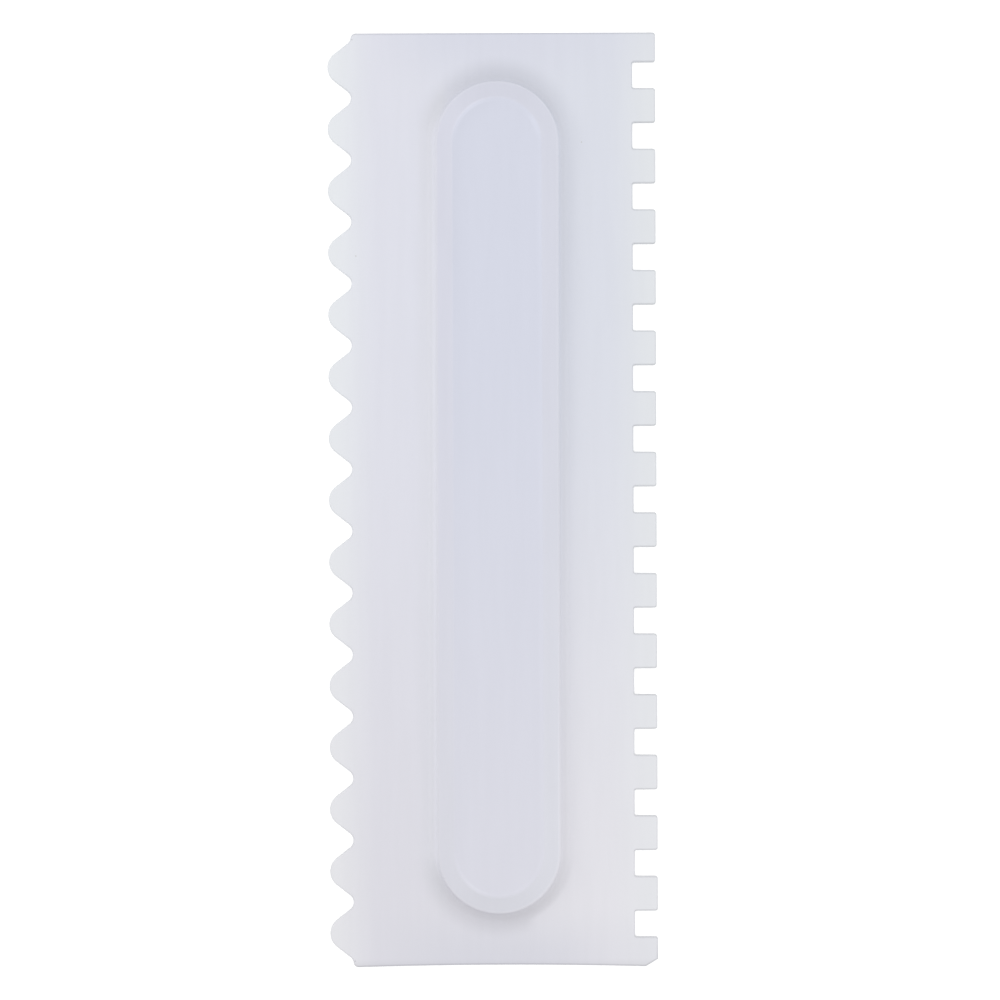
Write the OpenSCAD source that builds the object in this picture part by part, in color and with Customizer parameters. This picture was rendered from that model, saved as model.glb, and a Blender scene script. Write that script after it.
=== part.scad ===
// Icing smoother: a thin moulded comb that shapes the side of a cake. One long edge has
// rounded waves, the other has square teeth, and a hollow raised grip runs up the middle.
// The real thing is a single moulding. It is drawn here as the regions that a hand would
// point to, which meet face to face and together make the whole.
// +X points to the square teeth, +Y up the length and +Z out of the face with the grip.
// The origin is under the middle of the blade, whose underside lies at z = 0.

/* [Blade] */
// Width across the tips of both toothed edges
overall_w = 80; // [76:1:88]
// Length from end to end
overall_len = 228; // [224:1:234]
// Thickness of the blade and of the teeth
blade_t = 1.6; // [1.2:0.1:2.2]
// Radius of the two corners at the wave edge
corner_r = 1.2; // [1:0.1:1.8]
// How far the lower end is drawn in at the middle of its width
end_bow = 0.5; // [0.2:0.1:1]

/* [Wave edge] */
// Number of rounded lobes
wave_count = 15; // [13:1:16]
// Depth from a lobe's tip to the root of the notch beside it
wave_depth = 5.7; // [4.5:0.1:6.5]
// Radius of a lobe's tip
wave_tip_r = 4.2; // [3:0.1:4.5]
// Radius at the root of a notch
wave_root_r = 2.2; // [1.5:0.1:2.4]
// Distance from the root of the outermost notch to the end of the blade
wave_end = 0.75; // [0.5:0.05:1]

/* [Square edge] */
// Number of square gaps
gap_count = 15; // [11:1:15]
// Distance from one gap to the next
gap_pitch = 14.8; // [13:0.1:15]
// Width of a gap
gap_w = 6.3; // [5:0.1:8]
// Depth of a gap
gap_depth = 5.6; // [4.5:0.1:6.5]
// Radius in the corners of a gap's floor
gap_root_r = 0.45; // [0.3:0.05:0.8]
// Radius on the corners of a tooth's tip
tooth_tip_r = 0.6; // [0.3:0.05:1]
// Cut across the lower corner of the last tooth, along the width
cut_w = 3; // [2:0.1:4]
// The same cut, along the length
cut_len = 1.8; // [1:0.1:2.5]

/* [Grip] */
// Width of the raised grip at its upright wall
grip_w = 30.2; // [28:0.2:34]
// Length of the raised grip
grip_len = 202.8; // [180:0.2:206]
// How far the grip stands off the blade's middle, towards the square teeth
grip_x = 1.3; // [0:0.1:2]
// How far the grip stands off the blade's middle, towards the upper end
grip_y = 0.6; // [0:0.1:2]
// Width of the flat top
top_w = 21.6; // [18:0.2:23]
// Height of the upright wall above the blade
wall_rise = 3.4; // [3.4:0.1:4.2]
// Further rise of the sloping shoulder up to the flat top
shoulder_rise = 1; // [0.6:0.1:1.6]
// Radius of the hollow foot between the blade and the wall
foot_r = 2.4; // [1.6:0.1:2.6]
// Radius between the wall and the shoulder
shoulder_r = 0.7; // [0.3:0.05:0.7]
// Thickness of the grip's wall and top
wall_t = 1.6; // [1.5:0.1:2]

/* [Hidden] */
$fn = 96;
// Facets on the large circle of the drawn-in end, so that its mesh follows the curve
bow_fn = 2400;
// Overrun of a cutting shape past the face that it cuts
over = 1;

tip_x = overall_w/2;
end_y = overall_len/2;

// A lobe's side is a tip arc, a straight flank and half a notch's root arc, all tangent.
// Depths run from the lobe's tip and half widths from its middle.
wave_pitch = (overall_len - 2*wave_end)/wave_count;
notch_depth = wave_depth - wave_root_r;
arcs_apart = norm([notch_depth - wave_tip_r, wave_pitch/2]);
flank_angle = asin((wave_tip_r + wave_root_r)/arcs_apart)
    + atan2(notch_depth - wave_tip_r, wave_pitch/2);
flank_end = [notch_depth + wave_root_r*cos(flank_angle), wave_pitch/2 - wave_root_r*sin(flank_angle)];

// A lobe's two flanks would meet in front of its tip. The corner where they are drawn to
// meet is moved back by a hair, so that they cross the tip's circle and don't only touch it.
hair = 0.03;
flanks_meet = flank_end[0] - flank_end[1]*tan(flank_angle) + hair;
cap_depth = wave_tip_r*(1 - cos(flank_angle));

// The lobes start where the flanks end, so that each lobe is convex and the blade holds
// the roots of the notches. The teeth start where the corners of the gaps end.
lobe_root_x = -tip_x + flank_end[0];
notch_x = -tip_x + notch_depth;
wave_root_x = -tip_x + wave_depth;
gap_floor_x = tip_x - gap_depth;
tooth_root_x = gap_floor_x + gap_root_r;
tooth_w = gap_pitch - gap_w;
last_gap_y = (gap_count - 1)*gap_pitch/2;

// The corner's arc starts on the outermost notch's root arc, a little before its lowest point
corner_y = end_y - corner_r;
corner_sag = wave_root_r - sqrt(wave_root_r^2 - (corner_r - wave_end)^2);
corner_x = wave_root_x - corner_sag + corner_r;

// The drawn-in end is an arc from the corner at the waves to the cut across the last tooth
bow_from = corner_x;
bow_to = tip_x - cut_w;
bow_r = (((bow_to - bow_from)/2)^2 + end_bow^2)/(2*end_bow);

// Half widths and heights of the grip's wall
wall_s = grip_w/2;
foot_s = wall_s + foot_r;
inner_s = wall_s - wall_t;
top_s = top_w/2;
run_y = (grip_len - grip_w)/2;
foot_z = blade_t + foot_r;
shoulder_z = blade_t + wall_rise;
top_z = shoulder_z + shoulder_rise;
slope = atan2(shoulder_rise, wall_s - top_s);
inner_z = top_z - wall_t - (inner_s - top_s)*tan(slope);
shoulder_cut = shoulder_r*tan((90 - slope)/2);

// A long shape with round ends, along Y
module obround(half_w) {
    square([2*half_w, 2*run_y], center = true);
    for (side = [-1, 1]) translate([0, side*run_y]) circle(half_w);
}

module at_grip() translate([grip_x, grip_y, 0]) children();

// Carries a section, drawn with its half width along X and its height along Y, round the grip
module round_the_grip() {
    rotate([90, 0, 0]) linear_extrude(2*run_y, center = true) {
        children();
        mirror([1, 0]) children();
    }
    for (turn = [0, 180])
        rotate([0, 0, turn]) translate([0, run_y, 0]) rotate_extrude(angle = 180) children();
}

module wall_section() {
    difference() {
        polygon([
            [inner_s, 0],
            [foot_s, 0],
            [foot_s, foot_z],
            [wall_s, foot_z],
            [wall_s, shoulder_z - shoulder_cut],
            [wall_s - shoulder_cut*cos(slope), shoulder_z + shoulder_cut*sin(slope)],
            [top_s, top_z],
            [top_s, top_z - wall_t],
            [inner_s, inner_z]
        ]);
        translate([foot_s, foot_z]) circle(foot_r);
    }
    translate([wall_s - shoulder_r, shoulder_z - shoulder_cut]) circle(shoulder_r);
}

// A lobe is what lies between its two flanks and behind the round cap of its tip
module lobe() {
    intersection() {
        polygon([
            [lobe_root_x, -flank_end[1]],
            [-tip_x + flanks_meet, 0],
            [lobe_root_x, flank_end[1]]
        ]);
        union() {
            translate([-tip_x + wave_tip_r, 0]) circle(wave_tip_r);
            translate([-tip_x + cap_depth, -wave_pitch/2])
                square([flank_end[0] - cap_depth + over, wave_pitch]);
        }
    }
}

// A tooth between two heights along Y, with both corners of its tip rounded
module tooth(low, high) {
    arc_x = tip_x - tooth_tip_r;
    translate([tooth_root_x, low]) square([arc_x - tooth_root_x, high - low]);
    translate([arc_x - over, low + tooth_tip_r])
        square([tooth_tip_r + over, high - low - 2*tooth_tip_r]);
    for (y = [low + tooth_tip_r, high - tooth_tip_r]) translate([arc_x, y]) circle(tooth_tip_r);
}

// What a square gap takes out of the blade: its floor and the floor's round corners
module gap_floor() {
    arc_y = gap_w/2 - gap_root_r;
    translate([gap_floor_x, -arc_y]) square([gap_root_r + over, 2*arc_y]);
    for (y = [-arc_y, arc_y]) translate([tooth_root_x, y]) circle(gap_root_r);
}

module corner_cut() {
    difference() {
        translate([corner_x - corner_r - over, corner_y])
            square([corner_r + over, corner_r + over]);
        translate([corner_x, corner_y]) circle(corner_r);
    }
}

module end_cut() {
    translate([(bow_from + bow_to)/2, -end_y + end_bow - bow_r]) circle(bow_r, $fn = bow_fn);
}

module blade() {
    color("#dedfe8") linear_extrude(blade_t) difference() {
        translate([lobe_root_x, -end_y]) square([tooth_root_x - lobe_root_x, overall_len]);
        for (i = [0:wave_count])
            translate([notch_x, (i - wave_count/2)*wave_pitch]) circle(wave_root_r);
        for (i = [0:gap_count - 1]) translate([0, i*gap_pitch - last_gap_y]) gap_floor();
        corner_cut();
        mirror([0, 1]) corner_cut();
        end_cut();
        translate([grip_x, grip_y]) obround(foot_s);
    }
}

module grip_wall() {
    color("#dbdde7") at_grip() round_the_grip() wall_section();
}

module grip_top() {
    color("#d8dae6") at_grip() translate([0, 0, top_z - wall_t]) linear_extrude(wall_t)
        obround(top_s);
}

module wave_lobes() {
    color("#e6eaed") linear_extrude(blade_t) for (i = [0:wave_count - 1])
        translate([0, (i - (wave_count - 1)/2)*wave_pitch]) lobe();
}

module square_teeth() {
    color("#e2e5ea") linear_extrude(blade_t) {
        for (i = [1:gap_count - 1]) {
            low = (i - 1)*gap_pitch - last_gap_y + gap_w/2;
            tooth(low, low + tooth_w);
        }
        tooth(last_gap_y + gap_w/2, end_y);
        difference() {
            tooth(-end_y, -last_gap_y - gap_w/2);
            polygon([[bow_to, -end_y], [tip_x, -end_y + cut_len], [tip_x + over, -end_y - over]]);
            end_cut();
        }
    }
}

blade();
grip_wall();
grip_top();
wave_lobes();
square_teeth();
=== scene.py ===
import logging
import math
from collections.abc import Iterable, Sequence
from dataclasses import dataclass, field
from enum import Enum
from typing import Any, NamedTuple

import bmesh
import bpy
from mathutils import Matrix, Vector


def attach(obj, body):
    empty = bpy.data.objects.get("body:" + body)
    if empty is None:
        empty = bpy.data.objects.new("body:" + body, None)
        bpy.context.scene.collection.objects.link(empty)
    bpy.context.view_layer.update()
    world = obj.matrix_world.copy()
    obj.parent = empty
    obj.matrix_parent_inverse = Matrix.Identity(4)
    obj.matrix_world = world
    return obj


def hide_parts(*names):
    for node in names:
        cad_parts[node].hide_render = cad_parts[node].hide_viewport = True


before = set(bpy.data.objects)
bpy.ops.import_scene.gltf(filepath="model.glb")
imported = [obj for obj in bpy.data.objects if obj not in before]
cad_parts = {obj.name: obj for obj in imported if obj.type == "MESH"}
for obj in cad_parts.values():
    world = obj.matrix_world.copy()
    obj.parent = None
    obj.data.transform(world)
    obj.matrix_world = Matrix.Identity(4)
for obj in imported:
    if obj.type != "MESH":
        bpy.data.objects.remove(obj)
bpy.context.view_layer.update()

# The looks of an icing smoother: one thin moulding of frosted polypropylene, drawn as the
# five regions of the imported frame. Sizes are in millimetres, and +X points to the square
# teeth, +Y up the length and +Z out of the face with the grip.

LOG = logging.getLogger("icing_smoother")
MM = 0.001
BODY = "root"

# Angle in degrees past which an edge stays crisp
CRISP = 35
# Distance in millimetres under which two points are one, and bend that counts as straight
SAME_POINT, STRAIGHT = 1e-6, 1e-4
# Numbers of the sockets of a Mix node that mixes colours, where names repeat
MIX_FACTOR, MIX_A, MIX_B, MIX_RESULT = 0, 6, 7, 2
# Values between which most of a noise texture lies
MIDDLE_OF_NOISE = (0.3, 0.7)
# Places across the width of the grip's left and right walls, in whole millimetres
GRIP_WALLS = (-14, 16)

Socket = bpy.types.NodeSocket
Tree = bpy.types.NodeTree
Material = bpy.types.Material
Object = bpy.types.Object
Mesh = bpy.types.Mesh
Pair = tuple[float, float]
Point = tuple[float, float]
Place = tuple[float, float, float]


class Edge(Enum):
    """What an edge of an outline meets."""

    FREE = "open to the air, so its rims are rounded"
    SEAM = "on the face of the next region, so it stays upright and sharp"


def linear(colour: str) -> tuple[float, float, float, float]:
    """Turns an sRGB hex colour into the linear colour that a shader takes.

    Args:
        colour: six hex digits after a hash.

    Returns:
        Linear red, green and blue, and an alpha of 1.
    """
    parts = [int(colour[i:i + 2], 16) / 255 for i in (1, 3, 5)]
    red, green, blue = (
        v / 12.92 if v <= 0.04045 else ((v + 0.055) / 1.055) ** 2.4 for v in parts
    )
    return red, green, blue, 1.0


def add_node(
    tree: Tree, kind: str, inputs: dict[str | int, Any] | None = None, **settings: Any
) -> bpy.types.Node:
    """Adds a node with its settings, values and links.

    Args:
        tree: the node tree that gets the node.
        kind: Blender's name of the node's type.
        inputs: for a socket's name or number, its value or the socket that feeds it.
        **settings: the node's own options.

    Returns:
        The new node.
    """
    node = tree.nodes.new(kind)
    for name, value in settings.items():
        setattr(node, name, value)
    for key, value in (inputs or {}).items():
        if isinstance(value, Socket):
            tree.links.new(value, node.inputs[key])
        else:
            node.inputs[key].default_value = value
    return node


def worked(tree: Tree, operation: str, first: Socket | float, *others: Any) -> Socket:
    """Works out a value in a node tree, one step after another.

    Args:
        tree: the node tree.
        operation: Blender's name of what each step does.
        first: the socket or number that it starts from.
        *others: the second socket or number of each step. There is one step without any.

    Returns:
        The socket with the result.
    """
    result = first
    for other in others or (0.0,):
        made = add_node(tree, "ShaderNodeMath", {0: result, 1: other}, operation=operation)
        result = made.outputs[0]
    return result


def ramp(
    tree: Tree, value: Socket,
    start: float, end: float, first: float = 0.0, last: float = 1.0, even: bool = False,
) -> Socket:
    """Goes from one value to another while a third one goes from its start to its end.

    Args:
        tree: the node tree.
        value: the socket that is followed.
        start: where it starts.
        end: where it ends.
        first: the result up to the start.
        last: the result from the end on.
        even: whether it goes evenly, and doesn't start and end softly.

    Returns:
        The socket with the result.
    """
    return add_node(tree, "ShaderNodeMapRange", {
        "Value": value, "From Min": start, "From Max": end, "To Min": first, "To Max": last,
    }, interpolation_type="LINEAR" if even else "SMOOTHSTEP").outputs["Result"]


def mixed(tree: Tree, share: Socket, first: Any, second: Any) -> Socket:
    """Mixes two colours.

    Args:
        tree: the node tree.
        share: the socket with the share of the second one.
        first: a socket or a linear colour.
        second: the same.

    Returns:
        The socket with the mixed colour.
    """
    return add_node(tree, "ShaderNodeMix", {
        MIX_FACTOR: share, MIX_A: first, MIX_B: second}, data_type="RGBA").outputs[MIX_RESULT]


def arc(centre: Point, radius: float, start: float, end: float, steps: int) -> list[Point]:
    """Points along an arc, both ends included.

    Args:
        centre: its middle.
        radius: its radius.
        start: its first angle in degrees.
        end: its last angle in degrees.
        steps: how many straight pieces it has.

    Returns:
        One point more than it has pieces.
    """
    turns = (math.radians(start + (end - start) * i / steps) for i in range(steps + 1))
    return [(centre[0] + radius * math.cos(t), centre[1] + radius * math.sin(t)) for t in turns]


@dataclass
class Outline:
    """A closed outline, drawn counterclockwise, that knows which edges are free."""

    corners: list[Vector] = field(default_factory=list)
    edges: list[Edge] = field(default_factory=list)

    def draw(self, edge: Edge, points: Iterable[Point]) -> None:
        """Goes on through points.

        Args:
            edge: what the edges that lead to these points meet.
            points: where it goes, in order. One that it stands on already is left out.
        """
        for point in map(Vector, points):
            if not self.corners or (point - self.corners[-1]).length > SAME_POINT:
                self.corners.append(point)
                self.edges.append(edge)

    def inset(self, depth: float) -> list[Vector]:
        """Moves the free edges inwards, while corners on a seam slide along it.

        Args:
            depth: how far a free edge moves.

        Returns:
            The moved corners.
        """
        moved = []
        count = len(self.corners)
        for i, corner in enumerate(self.corners):
            before = (corner - self.corners[i - 1]).normalized()
            after = (self.corners[(i + 1) % count] - corner).normalized()
            in_before, in_after = Vector((-before.y, before.x)), Vector((-after.y, after.x))
            by_before = depth if self.edges[i] is Edge.FREE else 0.0
            by_after = depth if self.edges[(i + 1) % count] is Edge.FREE else 0.0
            cross = in_before.cross(in_after)
            if abs(cross) < STRAIGHT:
                moved.append(corner + in_before * (by_before + by_after) / 2)
                continue
            shift = Vector((
                by_before * in_after.y - by_after * in_before.y,
                by_after * in_before.x - by_before * in_after.x,
            )) / cross
            moved.append(corner + shift)
        return moved


@dataclass
class Slab:
    """A flat region of the moulding with softly rounded free rims."""

    outline: Outline
    thickness: float
    rim: float = 0.4
    rim_steps: int = 4
    margin: float = 0.1
    opening: list[Point] = field(default_factory=list)

    def mesh(self, name: str) -> Mesh:
        """Builds the closed slab, from z = 0 up.

        Args:
            name: the mesh's name.

        Returns:
            The mesh, in metres.
        """
        bm = bmesh.new()
        turns = [math.pi / 2 * i / self.rim_steps for i in range(self.rim_steps + 1)]
        levels = [(self.rim * (1 - math.cos(t)), self.rim * (1 - math.sin(t))) for t in turns]
        # A narrow flat margin inside the rim keeps the wide face's shading flat
        levels.append((self.rim + self.margin, 0.0))
        steps = list(reversed(levels))
        steps += [(depth, self.thickness - low) for depth, low in levels]
        rings = [
            [bm.verts.new((p.x * MM, p.y * MM, z * MM)) for p in self.outline.inset(depth)]
            for depth, z in steps
        ]
        for lower, upper in zip(rings, rings[1:]):
            bridge(bm, lower, upper)
        hole = [
            [bm.verts.new((x * MM, y * MM, z * MM)) for x, y in self.opening]
            for z in (0, self.thickness)
        ]
        if self.opening:
            bridge(bm, hole[1], hole[0])
        for ring, inner in ((rings[0], hole[0]), (rings[-1], hole[1])):
            fill_flat(bm, [ring] + ([inner] if inner else []))
        return finished_mesh(bm, name)


def bridge(bm: bmesh.types.BMesh, lower: Sequence, upper: Sequence) -> None:
    """Joins two closed rings of as many vertices by a band of quads.

    Args:
        bm: the mesh under work.
        lower: the ring that the band starts from.
        upper: the ring that it ends on.
    """
    for i in range(len(lower)):
        j = (i + 1) % len(lower)
        bm.faces.new((lower[i], lower[j], upper[j], upper[i])).smooth = True


def fill_flat(bm: bmesh.types.BMesh, loops: Sequence[Sequence]) -> None:
    """Fills a flat face between closed rings, shaded flat.

    Args:
        bm: the mesh under work.
        loops: the outer ring, and the ring of an opening if there is one.
    """
    rims = [
        bm.edges.get((ring[i - 1], ring[i])) or bm.edges.new((ring[i - 1], ring[i]))
        for ring in loops for i in range(len(ring))
    ]
    made = bmesh.ops.triangle_fill(bm, use_beauty=True, edges=rims)
    for face in made["geom"]:
        if isinstance(face, bmesh.types.BMFace):
            face.smooth = False


def finished_mesh(bm: bmesh.types.BMesh, name: str, finish: Material | None = None) -> Mesh:
    """Turns the faces outwards, keeps real corners crisp and frees the work mesh.

    Args:
        bm: the mesh under work.
        name: the finished mesh's name.
        finish: the material that it gets, if it gets one here.

    Returns:
        The finished mesh.
    """
    bmesh.ops.recalc_face_normals(bm, faces=bm.faces)
    mesh = bpy.data.meshes.new(name)
    bm.to_mesh(mesh)
    bm.free()
    mesh.set_sharp_from_angle(angle=math.radians(CRISP))
    if finish:
        mesh.materials.append(finish)
    return mesh


def placed(name: str, mesh: Mesh) -> Object:
    """Puts a mesh into the scene, at the origin.

    Args:
        name: the object's name.
        mesh: its mesh, whose vertices hold its place.

    Returns:
        The new object.
    """
    made = bpy.data.objects.new(name, mesh)
    bpy.context.scene.collection.objects.link(made)
    return made


def as_plain_mesh(source: Object, tree: Tree, values: dict[str, Any]) -> Mesh:
    """Runs a Geometry Nodes tree on an object and keeps only the mesh that comes out.

    Args:
        source: the object whose own mesh goes in. It is removed.
        tree: the tree to run.
        values: the tree's inputs by name.

    Returns:
        The plain mesh, free of the modifier.
    """
    modifier = source.modifiers.new(tree.name, "NODES")
    modifier.node_group = tree
    for item in tree.interface.items_tree:
        if item.item_type == "SOCKET" and item.in_out == "INPUT" and item.name in values:
            modifier[item.identifier] = values[item.name]
    source.update_tag()
    depsgraph = bpy.context.evaluated_depsgraph_get()
    mesh = bpy.data.meshes.new_from_object(source.evaluated_get(depsgraph))
    source.modifiers.clear()
    bpy.data.objects.remove(source)
    return mesh


def dress(piece: Object, node: str) -> Object:
    """Sets a finished piece in its CAD node's place.

    Args:
        piece: the finished piece.
        node: the CAD node that it stands for.

    Returns:
        The same piece.
    """
    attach(piece, BODY)
    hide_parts(node)
    LOG.info("%s stands for %s, %d faces", piece.name, node, len(piece.data.polygons))
    return piece


@dataclass(frozen=True)
class GripShape:
    """The sizes that the grip's wall, its top and the opening in the blade share."""

    middle: Point = (1.3, 0.6)
    wall: float = 15.1
    foot: float = 17.5
    top: float = 10.8
    inner: float = 13.5
    run: float = 86.3
    blade_top: float = 1.6
    foot_radius: float = 2.4
    wall_top: float = 5.0
    shoulder_radius: float = 0.7
    height: float = 6.0
    skin: float = 1.6
    shoulder_tilt: float = 11.5
    lip_tilt: float = 18.0
    dish: float = 0.25
    softness: float = 0.12
    facets: int = 56

    def ring(self, half: float) -> list[Point]:
        """An obround round the grip's middle, counterclockwise.

        Args:
            half: its half width.

        Returns:
            Its points, two half circles with straight runs between them.
        """
        x, y = self.middle
        return (arc((x, y + self.run), half, 0, 180, self.facets)
                + arc((x, y - self.run), half, 180, 360, self.facets))

    def upper(self, half: float) -> float:
        """Height of the upper face: a gentle shoulder, a steeper lip and a shallow dish.

        Args:
            half: half width at which the height is wanted.

        Returns:
            The height above the underside of the blade.
        """
        shoulder = self.wall_top + (self.wall - half) * math.tan(math.radians(self.shoulder_tilt))
        lip = self.height + (self.top - half) * math.tan(math.radians(self.lip_tilt))
        floor = self.height - self.dish * (1 - (half / self.top) ** 5)
        rise = -self.lower_of(-shoulder, -lip)
        return self.lower_of(rise, floor)

    def lower_of(self, one: float, other: float) -> float:
        """The lower of two heights, with the corner between them rounded off.

        Args:
            one: a height.
            other: the height that it is set against.

        Returns:
            The lower one, or a little less where the two are nearly equal.
        """
        share = min(max(0.5 + (other - one) / (2 * self.softness), 0), 1)
        return other + (one - other) * share - self.softness * share * (1 - share)


class Along(Enum):
    """What a tint or a shade is placed by, in millimetres but for the last three."""

    WIDTH = "place across the width"
    LENGTH = "place up the length"
    ASIDE = "distance from the blade's middle line"
    AHEAD = "distance from the grip's middle, towards either end"
    WALL = "distance outside the grip's upright wall"
    LIP = "distance outside the rim of the grip's flat top"
    ROUND = "0 beside the grip's straight sides, up to 1 at its very ends"
    RIGHT = "0 on the left of the grip, up to 1 on its right"
    TILT = "0 on a level face or a long side, up to 1 on a face towards an end"


WIDTH, LENGTH, ASIDE, AHEAD, WALL, LIP, ROUND, RIGHT, TILT = Along


class Fade(NamedTuple):
    """A change from one value to another, up to a place and from another one on."""

    along: Along
    start: float
    end: float
    first: float = 0.0
    last: float = 1.0
    even: bool = False


@dataclass(frozen=True)
class Whereabouts:
    """Sockets in a material's tree that say where a point of the moulding lies."""

    tree: Tree
    place: Socket
    measures: dict[Along, Socket]

    @classmethod
    def on(cls, tree: Tree, grip: GripShape) -> "Whereabouts":
        """Works the measures out from the Object coordinates.

        Args:
            tree: the material's tree.
            grip: the grip's shape.

        Returns:
            The place in millimetres, and each measure.
        """
        given = add_node(tree, "ShaderNodeTexCoord").outputs
        place = add_node(
            tree, "ShaderNodeVectorMath", {0: given["Object"], "Scale": 1 / MM}, operation="SCALE"
        ).outputs["Vector"]
        width, length, _ = add_node(tree, "ShaderNodeSeparateXYZ", {0: place}).outputs
        facing = add_node(tree, "ShaderNodeSeparateXYZ", {0: given["Normal"]}).outputs["Y"]
        across = worked(tree, "SUBTRACT", width, grip.middle[0])
        ahead = worked(tree, "ABSOLUTE", worked(tree, "SUBTRACT", length, grip.middle[1]))
        beyond = worked(tree, "MAXIMUM", worked(tree, "SUBTRACT", ahead, grip.run), 0.0)
        spread = add_node(tree, "ShaderNodeCombineXYZ", {"X": across, "Y": beyond}).outputs[0]
        reach = add_node(
            tree, "ShaderNodeVectorMath", {0: spread}, operation="LENGTH").outputs["Value"]
        return cls(tree, place, {
            WIDTH: width,
            LENGTH: length,
            ASIDE: worked(tree, "ABSOLUTE", width),
            AHEAD: ahead,
            WALL: worked(tree, "SUBTRACT", reach, grip.wall),
            LIP: worked(tree, "SUBTRACT", reach, grip.top),
            ROUND: worked(tree, "DIVIDE", beyond, reach),
            RIGHT: ramp(tree, width, *GRIP_WALLS),
            TILT: worked(tree, "ABSOLUTE", facing),
        })

    def follow(self, fade: Fade) -> Socket:
        """Follows the measure that a fade runs along.

        Args:
            fade: the fade.

        Returns:
            The socket with its value.
        """
        return ramp(self.tree, self.measures[fade.along], *fade[1:])

    def overlap(self, fades: Sequence[Fade], strength: float = 1.0) -> Socket:
        """Multiplies fades.

        Args:
            fades: what is multiplied.
            strength: what all of them together come to at most.

        Returns:
            The socket with the product.
        """
        return worked(self.tree, "MULTIPLY", strength, *map(self.follow, fades))


class Coat(NamedTuple):
    """A tint, partly painted light and shade, and the fades that place it over the coats before
    it.
    """

    fades: tuple[Fade, ...]
    upper_left: str
    lower_left: str
    upper_right: str
    lower_right: str


@dataclass(frozen=True)
class Shade:
    """Painted light in the colour, or painted shade if its strength is below 0, where its fades
    overlap.

    The stronger of the overlaps in `either` counts as one more fade, and so does what the
    overlap in `but_not` leaves over.
    """

    name: str
    strength: float
    fades: tuple[Fade, ...]
    either: tuple[tuple[Fade, ...], ...] = ()
    but_not: tuple[Fade, ...] = ()

    def light(self, where: Whereabouts) -> Socket:
        """Works the shade out.

        Args:
            where: the measures that it is placed by.

        Returns:
            The socket with the light.
        """
        light = where.overlap(self.fades, self.strength)
        if self.either:
            sides = (where.overlap(fades) for fades in self.either)
            light = worked(where.tree, "MULTIPLY", light, worked(where.tree, "MAXIMUM", *sides))
        if self.but_not:
            left_over = worked(where.tree, "SUBTRACT", 1.0, where.overlap(self.but_not))
            light = worked(where.tree, "MULTIPLY", light, left_over)
        light.node.label = self.name
        return light


# Fades that several shades share
OFF_GRIP = Fade(WALL, -0.2, 0)
AT_ENDS = Fade(ROUND, 0, 1, even=True)
ON_LEFT = Fade(RIGHT, 0, 1, 1, 0)
ON_RIGHT = Fade(RIGHT, 0, 1, even=True)


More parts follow.
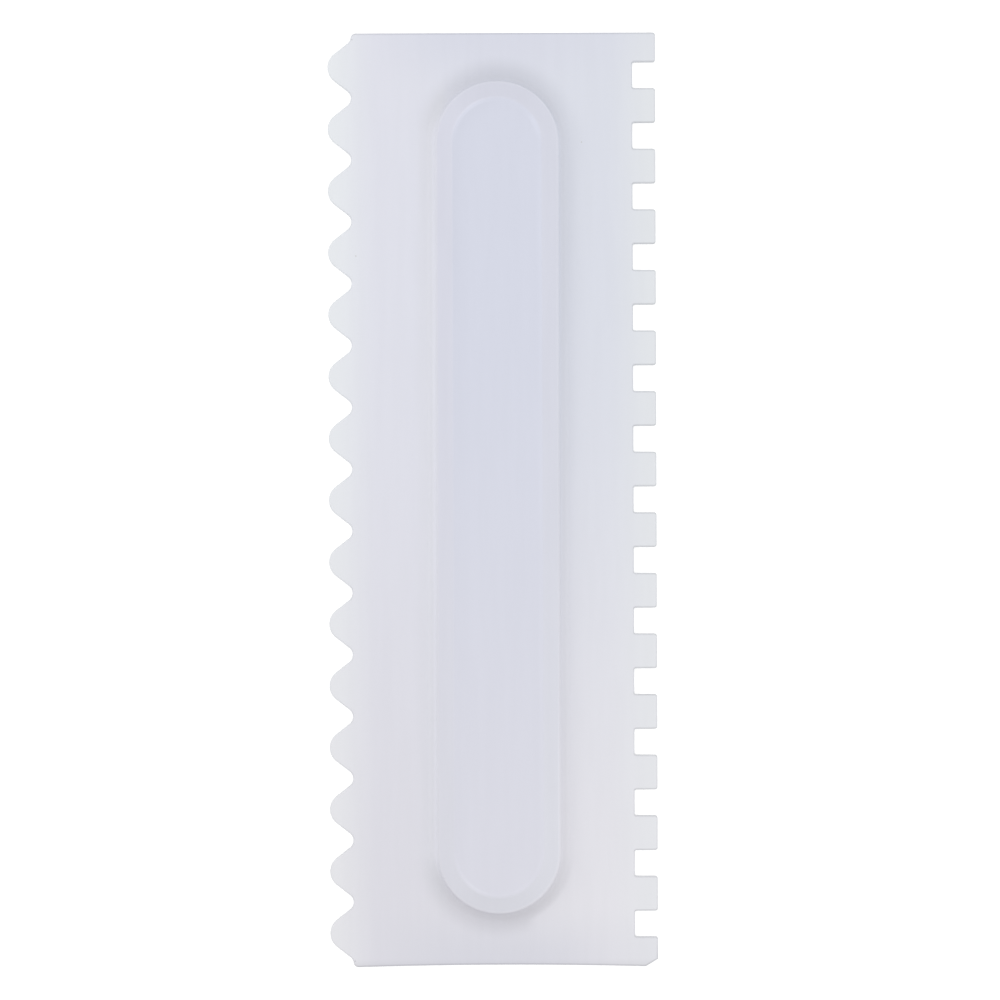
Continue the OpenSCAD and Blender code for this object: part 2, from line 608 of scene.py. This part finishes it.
@dataclass(frozen=True)
class FrostedPolypropylene:
    """Injection-moulded natural polypropylene, satin and milky.

    To the eye it is a cool translucent white. Its colour also carries painted light and shade: the
    toothed edges are painted paler than the middle, for light that enters the thin rims, and a
    painted highlight draws a pale line where the grip's wall turns up. The raised grip is painted
    a little deeper and bluer, and so is the blade where it thickens into the grip's two round ends
    and at its own ends: painted shade.
    """

    # What the four colours of a coat are mixed by. Their corners differ partly as painted light
    # and shade, lighter or darker to one side as the light falls
    upwards: Fade = Fade(LENGTH, -114, 60)
    rightwards: Fade = Fade(WIDTH, -30, 30)
    coats: tuple[Coat, ...] = (
        # The blade; its two toothed edges, painted paler for light that comes through the thin
        # rims;
        # the strip left of the grip; and its two ends, painted darker and bluer as painted shade
        Coat((), "#dfe0ea", "#dddce4", "#dbdee8", "#e5e4ea"),
        Coat((Fade(ASIDE, 27, 40),), "#e7eaee", "#e6e6ea", "#e2e5e9", "#e6e7eb"),
        Coat((Fade(WALL, 6, 2), Fade(WIDTH, -10, -13)),
             "#dfe0e8", "#dddde4", "#dfe0e8", "#dddde4"),
        Coat((Fade(AHEAD, 98, 113), Fade(WIDTH, -34, -8), Fade(WIDTH, 8, 34, 1, 0.3)),
             "#d8dae6", "#d8d8e1", "#d8dae6", "#d8d8e1"),
        # The grip's sloping shoulder and its flat top, painted darker and bluer than the blade:
        # painted shade for less light coming through from beneath
        Coat((Fade(WALL, 0.1, -0.9),), "#d5d6e3", "#d8d8e1", "#d7d9e5", "#dedfe7"),
        Coat((Fade(LIP, 0.4, -0.2),), "#d5d8e6", "#dbdbe5", "#d5d8e6", "#dbdbe5"),
    )
    # Painted highlights and painted shade, added to the light that scales the colour
    shades: tuple[Shade, ...] = (
        # Painted shade in the crease round the grip's foot, darkest at its two ends and along its
        # right
        Shade("hollow foot", -0.135,
              (Fade(WALL, 1.6, 7, 1, 0), Fade(WALL, 0.1, 1.5, 0.3, 1), OFF_GRIP),
              either=((AT_ENDS,), (Fade(LENGTH, -30, 90), Fade(RIGHT, 0, 1, 0.1, 0.28))),
              but_not=(Fade(WIDTH, 7, 11), Fade(LENGTH, -80, -90), Fade(WALL, 2.4, 3.8))),
        # Painted highlight: a pale line where the wall turns up, stronger on the left
        Shade("pale line at the wall", 0.11,
              (Fade(RIGHT, 0, 1, 1, 0.591), Fade(ROUND, 0, 0.7, 1, 0),
               Fade(WALL, 0.15, 1.2, 1, 0), Fade(WALL, -0.3, 0))),
        # Painted light on the blade beside the grip's left wall
        Shade("pale left side", 0.028,
              (ON_LEFT, Fade(LENGTH, 90, 10, 0.2, 1), Fade(ROUND, 0, 0.5, 1, 0),
               Fade(WALL, 1.8, 3.8, 1, 0), OFF_GRIP)),
        # Painted shade on rims that face along the length, off the wave lobes
        Shade("rounded rims", -0.105,
              (Fade(TILT, 0, 0.2), Fade(WALL, 2.9, 3.9), Fade(WIDTH, -36, -33))),
        # Painted shade along the blade's two ends
        Shade("blade's ends", -0.08, (Fade(AHEAD, 112.4, 114.6),)),
        # Painted highlight along the upper edge of the right wall
        Shade("brow of the right wall", 0.035, (ON_RIGHT, Fade(WALL, 0.3, 0.05)),
              either=((Fade(LENGTH, -10, -80), Fade(WALL, -1, -0.5)),
                      (Fade(LENGTH, 0, 90, 0.4, 1.5), Fade(WALL, -0.6, -0.3)))),
        # Painted shade on the shoulder round the grip's two ends
        Shade("shoulder at the ends", -0.025,
              (Fade(ROUND, 0.6, 1), Fade(LIP, 0.2, 0.7), Fade(WALL, 0, -0.3))),
        # Painted highlight: a pale arc on the lip at the left of the grip's ends
        Shade("lip at the left of the ends", 0.085,
              (AT_ENDS, Fade(WIDTH, 1, -6), Fade(LENGTH, -20, 20, 0.6, 1),
               Fade(LIP, -0.8, -0.4), Fade(LIP, 0.7, 0.2))),
        # Painted highlight: a faint pale line on the lip at the right
        Shade("lip at the right", 0.016,
              (ON_RIGHT, Fade(LIP, -1.4, -0.4), Fade(LIP, 1.8, 0.4))),
        Shade("glint on the upper lip", 0.035,
              (ON_RIGHT, Fade(LENGTH, 87, 90.5), Fade(LENGTH, 94.5, 92),
               Fade(LIP, -1.5, -0.7), Fade(LIP, 0.7, 0))),
        # Painted shade just inside the lip, on the left of the flat top
        Shade("sunk left of the top", -0.027,
              (ON_LEFT, Fade(LENGTH, -80, 100, 0.3, 1), Fade(LIP, -4.5, -0.6),
               Fade(LIP, 0.2, -0.2))),
    )
    speck: str = "#b9b7ae"
    speck_cell: float = 11.0
    speck_rim: Pair = (0.028, 0.012)
    speck_share: float = 0.1
    streak: float = 0.006
    streaks_per_mm: Pair = (0.42, 0.04)
    ior: float = 1.49
    roughness: float = 0.44
    roughness_play: float = 0.04
    # Spacings in millimetres, and depths as shares of them, which only break up the gloss
    grain: float = 0.35
    grain_depth: float = 0.03
    flow: float = 9.0
    flow_depth: float = 0.004

    def build(self, grip: GripShape) -> Material:
        """Makes the material.

        Args:
            grip: the grip's shape, which the tints follow.

        Returns:
            The material, whose patterns all run on Object coordinates, across the seams.
        """
        material = bpy.data.materials.new("frosted_polypropylene_moulded")
        material.use_nodes = True
        tree = material.node_tree
        tree.nodes.clear()
        where = Whereabouts.on(tree, grip)
        grain = add_node(tree, "ShaderNodeTexNoise", {
            "Vector": where.place, "Scale": 1 / self.grain, "Detail": 3.0, "Roughness": 0.6})
        sink = add_node(tree, "ShaderNodeTexNoise", {
            "Vector": where.place, "Scale": 1 / self.flow, "Detail": 1.0})
        fine = add_node(tree, "ShaderNodeBump", {
            "Height": grain.outputs["Fac"], "Distance": self.grain * MM * self.grain_depth})
        soft = add_node(tree, "ShaderNodeBump", {
            "Height": sink.outputs["Fac"], "Distance": self.flow * MM * self.flow_depth,
            "Normal": fine.outputs["Normal"]})
        # The tint is scaled by the streaks and by the painted light and shade worked out in
        # light()
        lit = add_node(tree, "ShaderNodeVectorMath", {
            0: self.tint(where), "Scale": self.light(where)}, operation="SCALE").outputs["Vector"]
        low, high = self.roughness - self.roughness_play, self.roughness + self.roughness_play
        shader = add_node(tree, "ShaderNodeBsdfPrincipled", {
            "Base Color": self.specked(where, lit), "IOR": self.ior,
            "Roughness": ramp(tree, sink.outputs["Fac"], *MIDDLE_OF_NOISE, low, high),
            "Normal": soft.outputs["Normal"]})
        add_node(tree, "ShaderNodeOutputMaterial", {"Surface": shader.outputs[0]})
        return material

    def tint(self, where: Whereabouts) -> Socket:
        """Lays the coats over each other, the plastic's tints with the painted light and shade
        among them.

        Args:
            where: the measures that they are placed by.

        Returns:
            The socket with the colour.
        """
        tree = where.tree
        up, right = where.follow(self.upwards), where.follow(self.rightwards)
        colour = None
        for coat in self.coats:
            left_side, right_side = (
                mixed(tree, up, linear(lower), linear(upper)) for upper, lower in (
                    (coat.upper_left, coat.lower_left), (coat.upper_right, coat.lower_right)))
            here = mixed(tree, right, left_side, right_side)
            if colour is None:
                colour = here
            else:
                colour = mixed(tree, where.overlap(coat.fades), colour, here)
        return colour

    def light(self, where: Whereabouts) -> Socket:
        """Works out the painted light and shade that scale the colour, with the melt's faint
        streaks.

        Args:
            where: the measures that the shades are placed by.

        Returns:
            The socket with the share, about 1.
        """
        tree = where.tree
        # Melt that flowed along the length left faint streaks, 2 to 3 mm apart
        across, along = self.streaks_per_mm
        flow = add_node(tree, "ShaderNodeMapping", {
            "Vector": where.place, "Scale": (across, along, across)}).outputs["Vector"]
        streaks = add_node(tree, "ShaderNodeTexNoise", {
            "Vector": flow, "Scale": 1.0, "Detail": 2.0}).outputs["Fac"]
        plain = ramp(tree, streaks, *MIDDLE_OF_NOISE, 1 - self.streak, 1 + self.streak)
        # Each shade adds a painted highlight or takes away as painted shade
        return worked(tree, "ADD", plain, *(shade.light(where) for shade in self.shades))

    def specked(self, where: Whereabouts, colour: Socket) -> Socket:
        """Puts in the few dark specks of scorched melt that such mouldings carry.

        Args:
            where: the measures.
            colour: the clean colour.

        Returns:
            The socket with the finished colour.
        """
        tree = where.tree
        cells = add_node(tree, "ShaderNodeTexVoronoi", {
            "Vector": where.place, "Scale": 1 / self.speck_cell})
        chance = add_node(tree, "ShaderNodeSeparateColor", {0: cells.outputs["Color"]}).outputs[0]
        speck = worked(
            tree, "MULTIPLY", ramp(tree, cells.outputs["Distance"], *self.speck_rim),
            worked(tree, "GREATER_THAN", chance, 1 - self.speck_share))
        return mixed(tree, speck, colour, linear(self.speck))


@dataclass(frozen=True)
class DrawnInEnd:
    """The lower end, whose middle is drawn in by half a millimetre on a long arc."""

    start: float = -33.1465
    end: float = 37.0
    depth: float = 0.5
    level: float = -114.0

    def height(self, x: float) -> float:
        """The end's place along the length.

        Args:
            x: place across the width.

        Returns:
            The place along Y.
        """
        half = (self.end - self.start) / 2
        radius = (half ** 2 + self.depth ** 2) / (2 * self.depth)
        off = x - (self.start + self.end) / 2
        return self.level + self.depth - radius + math.sqrt(radius ** 2 - off ** 2)

    def points(self, start: float, end: float, steps: int) -> list[Point]:
        """Points along the end.

        Args:
            start: where they start across the width.
            end: where they end.
            steps: how many straight pieces they make.

        Returns:
            The points, both ends included.
        """
        places = (start + (end - start) * i / steps for i in range(steps + 1))
        return [(x, self.height(x)) for x in places]


@dataclass
class BladePlate:
    """The flat blade, with the roots of both toothed edges and the opening of the grip."""

    finish: Material
    grip: GripShape
    thickness: float = 1.6
    half_length: float = 114.0
    wave_pitch: float = 15.1
    waves: int = 15
    notch_middle: float = -36.5
    notch_radius: float = 2.2
    flank: float = 52.2831
    corner_middle: Point = (-33.1465, 112.8)
    corner_radius: float = 1.2
    tooth_root: float = 34.85
    gap_pitch: float = 14.8
    gaps: int = 15
    gap_half: float = 3.15
    gap_radius: float = 0.45
    bow: DrawnInEnd = DrawnInEnd()
    end_steps: int = 24
    gap_steps: int = 6
    corner_steps: int = 8
    notch_steps: int = 14

    def outline(self) -> Outline:
        """Draws the blade's edge, counterclockwise from its lower end.

        Returns:
            The outline with its free and seam edges.
        """
        shape = Outline()
        self.square_side(shape)
        shape.draw(Edge.FREE, [(self.corner_middle[0], self.half_length)])
        self.wave_side(shape)
        end = self.bow.points(self.corner_middle[0], self.tooth_root, self.end_steps)
        shape.draw(Edge.FREE, end[:-1])
        return shape

    def square_side(self, shape: Outline) -> None:
        """Goes up the square teeth's side.

        Args:
            shape: the outline under work.
        """
        shape.draw(Edge.FREE, [(self.tooth_root, self.bow.height(self.tooth_root))])
        for i in range(self.gaps):
            middle = (i - (self.gaps - 1) / 2) * self.gap_pitch
            reach = self.gap_half - self.gap_radius
            lower, upper = (self.tooth_root, middle - reach), (self.tooth_root, middle + reach)
            shape.draw(Edge.SEAM, [(self.tooth_root, middle - self.gap_half)])
            shape.draw(Edge.FREE, arc(lower, self.gap_radius, 270, 180, self.gap_steps))
            shape.draw(Edge.FREE, arc(upper, self.gap_radius, 180, 90, self.gap_steps))
        shape.draw(Edge.SEAM, [(self.tooth_root, self.half_length)])

    def wave_side(self, shape: Outline) -> None:
        """Goes down the waves' side, with the round corners at its ends.

        Args:
            shape: the outline under work.
        """
        x, y = self.corner_middle
        offset = self.waves * self.wave_pitch / 2 - y
        cut = math.degrees(math.asin(offset / self.notch_radius))
        shape.draw(Edge.FREE, arc((x, y), self.corner_radius, 90, 180, self.corner_steps))
        for i in range(self.waves, -1, -1):
            middle = (self.notch_middle, (i - self.waves / 2) * self.wave_pitch)
            start = -cut if i == self.waves else self.flank
            end = cut if i == 0 else -self.flank
            bend = arc(middle, self.notch_radius, start, end, self.notch_steps)
            shape.draw(Edge.FREE if i == self.waves else Edge.SEAM, bend[:1])
            shape.draw(Edge.FREE, bend[1:])
        lower = arc((x, -y), self.corner_radius, 180, 270, self.corner_steps)
        shape.draw(Edge.FREE, lower[:-1])

    def build(self) -> Object:
        """Builds and dresses the blade.

        Returns:
            The finished piece.
        """
        slab = Slab(self.outline(), self.thickness, opening=self.grip.ring(self.grip.foot))
        mesh = slab.mesh("blade_plate")
        mesh.materials.append(self.finish)
        return dress(placed("blade_plate", mesh), "blade")


def start_tree(name: str, inputs: dict[str, str]) -> tuple[Tree, Any]:
    """Starts a Geometry Nodes tree that gives one geometry.

    Args:
        name: the tree's name.
        inputs: for each input's name, its kind of socket.

    Returns:
        The tree, and the sockets that hold its inputs.
    """
    tree = bpy.data.node_groups.new(name, "GeometryNodeTree")
    for label, kind in inputs.items():
        tree.interface.new_socket(label, in_out="INPUT", socket_type=f"NodeSocket{kind}")
    tree.interface.new_socket("Geometry", in_out="OUTPUT", socket_type="NodeSocketGeometry")
    return tree, add_node(tree, "NodeGroupInput").outputs


def end_tree(tree: Tree, geometry: Socket, finish: Socket) -> None:
    """Ends a Geometry Nodes tree with real geometry that wears a finish.

    Args:
        tree: the tree.
        geometry: the socket with what it made.
        finish: the socket with the material.
    """
    real = add_node(tree, "GeometryNodeRealizeInstances", {"Geometry": geometry})
    finished = add_node(tree, "GeometryNodeSetMaterial", {
        "Geometry": real.outputs["Geometry"], "Material": finish})
    add_node(tree, "NodeGroupOutput", {"Geometry": finished.outputs["Geometry"]})


class RowTree:
    """A Geometry Nodes tree that repeats a mesh in a row along Y, centred on the middle."""

    def __init__(self, name: str) -> None:
        """Builds the tree.

        Args:
            name: the tree's name.
        """
        tree, given = start_tree(name, {
            "Geometry": "Geometry", "Count": "Int", "Pitch": "Float", "Finish": "Material"})
        spaces = worked(tree, "SUBTRACT", given["Count"], 1.0)
        start = worked(tree, "MULTIPLY", spaces, -0.5, given["Pitch"])
        first = add_node(tree, "ShaderNodeCombineXYZ", {"Y": start})
        stride = add_node(tree, "ShaderNodeCombineXYZ", {"Y": given["Pitch"]})
        line = add_node(tree, "GeometryNodeMeshLine", {
            "Count": given["Count"], "Start Location": first.outputs[0],
            "Offset": stride.outputs[0]})
        copies = add_node(tree, "GeometryNodeInstanceOnPoints", {
            "Points": line.outputs["Mesh"], "Instance": given["Geometry"]})
        end_tree(tree, copies.outputs["Instances"], given["Finish"])
        self.tree = tree

    def run(self, mesh: Mesh, count: int, pitch: float, finish: Material) -> Mesh:
        """Repeats a mesh.

        Args:
            mesh: what is repeated.
            count: how often.
            pitch: from one to the next, in millimetres.
            finish: the material that it gets.

        Returns:
            The whole row as one plain mesh.
        """
        values = {"Count": count, "Pitch": pitch * MM, "Finish": finish}
        return as_plain_mesh(placed(mesh.name, mesh), self.tree, values)


@dataclass
class WaveLobeRow:
    """The rounded lobes of the wave edge."""

    finish: Material
    row: RowTree
    thickness: float = 1.6
    count: int = 15
    pitch: float = 15.1
    tip: float = -40.0
    tip_radius: float = 4.2
    root: float = -35.1537
    half_root: float = 5.8098
    flank: float = 52.2831
    tip_steps: int = 26

    def lobe(self) -> Outline:
        """Draws one lobe, its round tip between straight flanks.

        Returns:
            The outline, counterclockwise, with its base on the seam.
        """
        shape = Outline()
        middle = (self.tip + self.tip_radius, 0.0)
        start, end = 180 - self.flank, 180 + self.flank
        shape.draw(Edge.SEAM, [(self.root, self.half_root)])
        shape.draw(Edge.FREE, arc(middle, self.tip_radius, start, end, self.tip_steps))
        shape.draw(Edge.FREE, [(self.root, -self.half_root)])
        return shape

    def build(self) -> Object:
        """Builds and dresses the row of lobes.

        Returns:
            The finished piece.
        """
        one = Slab(self.lobe(), self.thickness).mesh("wave_lobe")
        mesh = self.row.run(one, self.count, self.pitch, self.finish)
        return dress(placed("wave_lobe_row", mesh), "wave_lobes")


@dataclass
class SquareToothRow:
    """The square teeth, with the two end teeth and the cut across the lower one."""

    finish: Material
    row: RowTree
    thickness: float = 1.6
    middle_count: int = 14
    pitch: float = 14.8
    width: float = 8.5
    root: float = 34.85
    tip: float = 40.0
    tip_radius: float = 0.6
    end_tooth: float = 106.75
    half_length: float = 114.0
    cut: Pair = (3.0, 1.8)
    bow: DrawnInEnd = DrawnInEnd()
    tip_steps: int = 6
    end_steps: int = 4

    def tooth(self, low: float, high: float) -> Outline:
        """Draws one tooth.

        Args:
            low: its lower side.
            high: its upper side.

        Returns:
            The outline, counterclockwise, with its base on the seam.
        """
        shape = Outline()
        inwards, radius = self.tip - self.tip_radius, self.tip_radius
        shape.draw(Edge.SEAM, [(self.root, low)])
        shape.draw(Edge.FREE, arc((inwards, low + radius), radius, 270, 360, self.tip_steps))
        shape.draw(Edge.FREE, arc((inwards, high - radius), radius, 0, 90, self.tip_steps))
        shape.draw(Edge.FREE, [(self.root, high)])
        return shape

    def cut_tooth(self) -> Outline:
        """Draws the last tooth at the lower end, whose corner is cut off.

        Returns:
            The outline, counterclockwise, with its base on the seam.
        """
        shape = Outline()
        radius, high = self.tip_radius, -self.end_tooth
        corner = (self.tip - radius, high - radius)
        end = self.bow.points(self.root, self.tip - self.cut[0], self.end_steps)
        shape.draw(Edge.SEAM, end[:1])
        shape.draw(Edge.FREE, end[1:])
        shape.draw(Edge.FREE, [(self.tip, -self.half_length + self.cut[1])])
        shape.draw(Edge.FREE, arc(corner, radius, 0, 90, self.tip_steps))
        shape.draw(Edge.FREE, [(self.root, high)])
        return shape

    def build(self) -> Object:
        """Builds and dresses the row of teeth.

        Returns:
            The finished piece.
        """
        half = self.width / 2
        one = Slab(self.tooth(-half, half), self.thickness).mesh("square_tooth")
        meshes = [
            self.row.run(one, self.middle_count, self.pitch, self.finish),
            Slab(self.tooth(self.end_tooth, self.half_length), self.thickness).mesh("upper_tooth"),
            Slab(self.cut_tooth(), self.thickness).mesh("cut_tooth"),
        ]
        bm = bmesh.new()
        for mesh in meshes:
            bm.from_mesh(mesh)
        mesh = finished_mesh(bm, "square_tooth_row", self.finish)
        return dress(placed("square_tooth_row", mesh), "square_teeth")


class SweepTree:
    """A Geometry Nodes tree that carries a closed section round an obround, without a gap."""

    def __init__(self, name: str) -> None:
        """Builds the tree.

        Args:
            name: the tree's name.
        """
        tree, given = start_tree(name, {
            "Section": "Object", "Half Width": "Float", "Run": "Float", "Facets": "Int",
            "Middle": "Vector", "Finish": "Material"})
        points = worked(tree, "ADD", given["Facets"], 1.0)
        back = worked(tree, "MULTIPLY", given["Run"], -1.0)
        path = add_node(tree, "GeometryNodeJoinGeometry")
        ends = []
        for start, reach in ((0.0, given["Run"]), (math.pi, back)):
            half = add_node(tree, "GeometryNodeCurveArc", {
                "Resolution": points, "Radius": given["Half Width"],
                "Start Angle": start, "Sweep Angle": math.pi,
            }, mode="RADIUS")
            shift = add_node(tree, "ShaderNodeCombineXYZ", {"Y": reach})
            moved = add_node(tree, "GeometryNodeTransform", {
                "Geometry": half.outputs["Curve"], "Translation": shift.outputs[0]})
            ends.append(add_node(tree, "GeometryNodeCurveToPoints", {
                "Curve": moved.outputs["Geometry"]}, mode="EVALUATED").outputs["Points"])
        # A join takes its last link first, so the upper end is linked last
        for end in reversed(ends):
            tree.links.new(end, path.inputs["Geometry"])
        loop = add_node(tree, "GeometryNodePointsToCurves", {"Points": path.outputs["Geometry"]})
        closed = add_node(
            tree, "GeometryNodeSetSplineCyclic", {0: loop.outputs["Curves"], "Cyclic": True})
        level = add_node(tree, "GeometryNodeSetCurveNormal", {"Curve": closed.outputs[0]})
        level.mode = "Z_UP"
        section = add_node(tree, "GeometryNodeObjectInfo", {"Object": given["Section"]})
        swept = add_node(tree, "GeometryNodeCurveToMesh", {
            "Curve": level.outputs["Curve"], "Profile Curve": section.outputs["Geometry"]})
        centred = add_node(tree, "GeometryNodeTransform", {
            "Geometry": swept.outputs["Mesh"], "Translation": given["Middle"]})
        end_tree(tree, centred.outputs["Geometry"], given["Finish"])
        self.tree = tree


@dataclass
class GripWall:
    """The grip's hollow foot, upright wall and sloping shoulder, all round."""

    finish: Material
    shape: GripShape
    # Angles up the hollow foot, short at first so that the shading starts level with the blade
    foot_turns: tuple[float, ...] = (
        0, 0.5, 1.5, 3, 5, 8, 12, 17, 23, 30, 38, 46, 54, 62, 70, 78, 85, 90)
    # Half widths up the shoulder and the lip, closest where the lip begins and ends
    shoulder_halves: tuple[float, ...] = (
        14.0, 13.2, 12.7, 12.4, 12.25, 12.1, 12.0, 11.9, 11.8, 11.7, 11.55, 11.4, 11.25, 11.1,
        11.0, 10.9, 10.85, 10.8)
    round_steps: int = 8

    def section(self) -> list[Point]:
        """Draws the wall's section, by half width and height.

        Returns:
            The closed section, up the outside and down the inside.
        """
        grip = self.shape
        slope = grip.shoulder_tilt
        cut = grip.shoulder_radius * math.tan(math.radians((90 - slope) / 2))
        foot_middle = (grip.foot, grip.blade_top + grip.foot_radius)
        shoulder_middle = (grip.wall - grip.shoulder_radius, grip.wall_top - cut)
        outside = [(grip.inner, 0.0), (grip.foot, 0.0)]
        outside += [
            arc(foot_middle, grip.foot_radius, 270 - turn, 0, 1)[0] for turn in self.foot_turns]
        outside += arc(shoulder_middle, grip.shoulder_radius, 0, 90 - slope, self.round_steps)
        outside += [(half, grip.upper(half)) for half in self.shoulder_halves]
        drop = (grip.inner - grip.top) * (grip.height - grip.wall_top) / (grip.wall - grip.top)
        ceiling = grip.height - grip.skin
        return outside + [(grip.top, ceiling), (grip.inner, ceiling - drop)]

    def build(self, sweep: SweepTree) -> Object:
        """Builds and dresses the wall.

        Args:
            sweep: the tree that carries the section round the grip.

        Returns:
            The finished piece.
        """
        grip = self.shape
        curve = bpy.data.curves.new("grip_section", "CURVE")
        curve.dimensions = "3D"
        spline = curve.splines.new("POLY")
        points = self.section()
        spline.points.add(len(points) - 1)
        spline.use_cyclic_u = True
        for made, (half, height) in zip(spline.points, points):
            made.co = ((half - grip.foot) * MM, -height * MM, 0, 1)
        section = bpy.data.objects.new("grip_section", curve)
        bpy.context.scene.collection.objects.link(section)
        start = placed("grip_wall_start", bpy.data.meshes.new("grip_wall_start"))
        raw = as_plain_mesh(start, sweep.tree, {
            "Section": section, "Half Width": grip.foot * MM, "Run": grip.run * MM,
            "Facets": grip.facets, "Middle": (grip.middle[0] * MM, grip.middle[1] * MM, 0.0),
            "Finish": self.finish,
        })
        bpy.data.objects.remove(section)
        bm = bmesh.new()
        bm.from_mesh(raw)
        for face in bm.faces:
            face.smooth = True
        mesh = finished_mesh(bm, "grip_wall_shell", self.finish)
        return dress(placed("grip_wall_shell", mesh), "grip_wall")


@dataclass
class GripTop:
    """The grip's flat top, a little sunk as thick mouldings are."""

    finish: Material
    shape: GripShape
    # Half widths in from the rim, close together on the lip
    halves: tuple[float, ...] = (
        10.77, 10.72, 10.65, 10.55, 10.45, 10.35, 10.25, 10.15, 10.0, 9.8, 9.5, 9.1, 8.6, 8.0,
        7.3, 6.5, 5.6, 4.6, 3.5, 2.3, 1.2, 0.4)

    def build(self) -> Object:
        """Builds and dresses the top.

        Returns:
            The finished piece.
        """
        grip = self.shape
        levels = [(grip.top, grip.height - grip.skin), (grip.top, grip.upper(grip.top))]
        levels += [(half, grip.upper(half)) for half in self.halves]
        bm = bmesh.new()
        rings = [
            [bm.verts.new((x * MM, y * MM, height * MM)) for x, y in grip.ring(half)]
            for half, height in levels
        ]
        for lower, upper in zip(rings, rings[1:]):
            bridge(bm, lower, upper)
        bm.faces.new(rings[-1]).smooth = True
        bm.faces.new(rings[0]).smooth = False
        mesh = finished_mesh(bm, "grip_top_plate", self.finish)
        return dress(placed("grip_top_plate", mesh), "grip_top")


@dataclass(frozen=True)
class PaleFloor:
    """Matt white paper under the object, burnt out to plain white but for its shadow."""

    paper: str = "#d0d0d0"
    glow: float = 0.62

    def build(self) -> Material:
        """Makes the material.

        Returns:
            The material: paper by every ray, and its own glow by those that show it.
        """
        material = bpy.data.materials.new("white_paper")
        material.use_nodes = True
        tree = material.node_tree
        tree.nodes.clear()
        rays = add_node(tree, "ShaderNodeLightPath").outputs
        shown = worked(tree, "MAXIMUM", rays["Is Camera Ray"], rays["Is Glossy Ray"],
                       rays["Is Transmission Ray"])
        glow = add_node(tree, "ShaderNodeEmission", {
            "Strength": worked(tree, "MULTIPLY", shown, self.glow)})
        matt = add_node(tree, "ShaderNodeBsdfDiffuse", {"Color": linear(self.paper)})
        both = add_node(tree, "ShaderNodeAddShader", {0: matt.outputs[0], 1: glow.outputs[0]})
        add_node(tree, "ShaderNodeOutputMaterial", {"Surface": both.outputs[0]})
        return material


@dataclass(frozen=True)
class Softbox:
    """A soft lamp that looks at the middle of the object."""

    name: str
    place: Place
    power: float
    size: Pair

    def hang(self) -> None:
        """Puts the lamp into the scene, where no camera sees it."""
        light = bpy.data.lights.new(self.name, "AREA")
        light.shape = "RECTANGLE"
        light.size, light.size_y = self.size[0] * MM, self.size[1] * MM
        light.energy = self.power
        lamp = bpy.data.objects.new(self.name, light)
        bpy.context.scene.collection.objects.link(lamp)
        spot = Vector(self.place) * MM
        turned = (-spot).to_track_quat("-Z", "Y").to_matrix().to_4x4()
        lamp.matrix_world = Matrix.Translation(spot) @ turned
        lamp.visible_camera = False


@dataclass
class Studio:
    """A white floor, soft light from all round and the camera straight above."""

    floor_half: float = 6000.0
    floor_drop: float = 0.05
    sky: float = 0.75
    lamps: tuple[Softbox, ...] = (
        Softbox("left_softbox", (-705, 330, 780), 2.6, (700, 1300)),
        Softbox("right_softbox", (600, 0, 1040), 2.4, (900, 1300)),
    )
    camera_place: Place = (1.78, -0.04, 1000.0)
    camera_turn: float = -0.202
    lens: float = 147.24
    sensor: float = 36.0
    # Nearest and farthest distance in view, in metres
    clip: Pair = (0.01, 50.0)

    def build(self) -> None:
        """Sets up the floor, the light and the camera."""
        self.floor()
        self.world()
        for lamp in self.lamps:
            lamp.hang()
        self.camera()

    def floor(self) -> None:
        """Lays the floor just under the object."""
        bm = bmesh.new()
        bmesh.ops.create_grid(bm, x_segments=1, y_segments=1, size=self.floor_half * MM)
        bmesh.ops.translate(bm, verts=bm.verts, vec=(0, 0, -self.floor_drop * MM))
        mesh = bpy.data.meshes.new("floor")
        bm.to_mesh(mesh)
        bm.free()
        mesh.materials.append(PaleFloor().build())
        placed("floor", mesh)

    def world(self) -> None:
        """Gives soft light from all round, and white where the sky is seen."""
        world = bpy.data.worlds.new("soft_sky")
        bpy.context.scene.world = world
        world.use_nodes = True
        tree = world.node_tree
        tree.nodes.clear()
        rays = add_node(tree, "ShaderNodeLightPath").outputs
        seen = worked(tree, "MAXIMUM", rays["Is Camera Ray"], rays["Is Transmission Ray"])
        sky = add_node(tree, "ShaderNodeBackground", {
            "Color": linear("#ffffff"), "Strength": ramp(tree, seen, 0, 1, self.sky, 1)})
        add_node(tree, "ShaderNodeOutputWorld", {"Surface": sky.outputs[0]})

    def camera(self) -> None:
        """Sets the camera that the photograph was taken with, looking straight down."""
        data = bpy.data.cameras.new("camera")
        data.sensor_width, data.sensor_fit, data.lens = self.sensor, "HORIZONTAL", self.lens
        data.clip_start, data.clip_end = self.clip
        camera = bpy.data.objects.new("camera", data)
        bpy.context.scene.collection.objects.link(camera)
        camera.location = Vector(self.camera_place) * MM
        camera.rotation_euler = (0, 0, math.radians(self.camera_turn))
        bpy.context.scene.camera = camera


def main() -> None:
    """Builds the moulding region by region, then the studio."""
    logging.basicConfig(level=logging.INFO, format="%(message)s")
    bpy.context.scene.view_settings.view_transform = "Standard"
    grip = GripShape()
    finish = FrostedPolypropylene().build(grip)
    row = RowTree("row_along_the_edge")
    BladePlate(finish, grip).build()
    GripWall(finish, grip).build(SweepTree("section_round_the_grip"))
    GripTop(finish, grip).build()
    WaveLobeRow(finish, row).build()
    SquareToothRow(finish, row).build()
    Studio().build()
    bpy.context.view_layer.update()


if __name__ == "__main__":
    main()
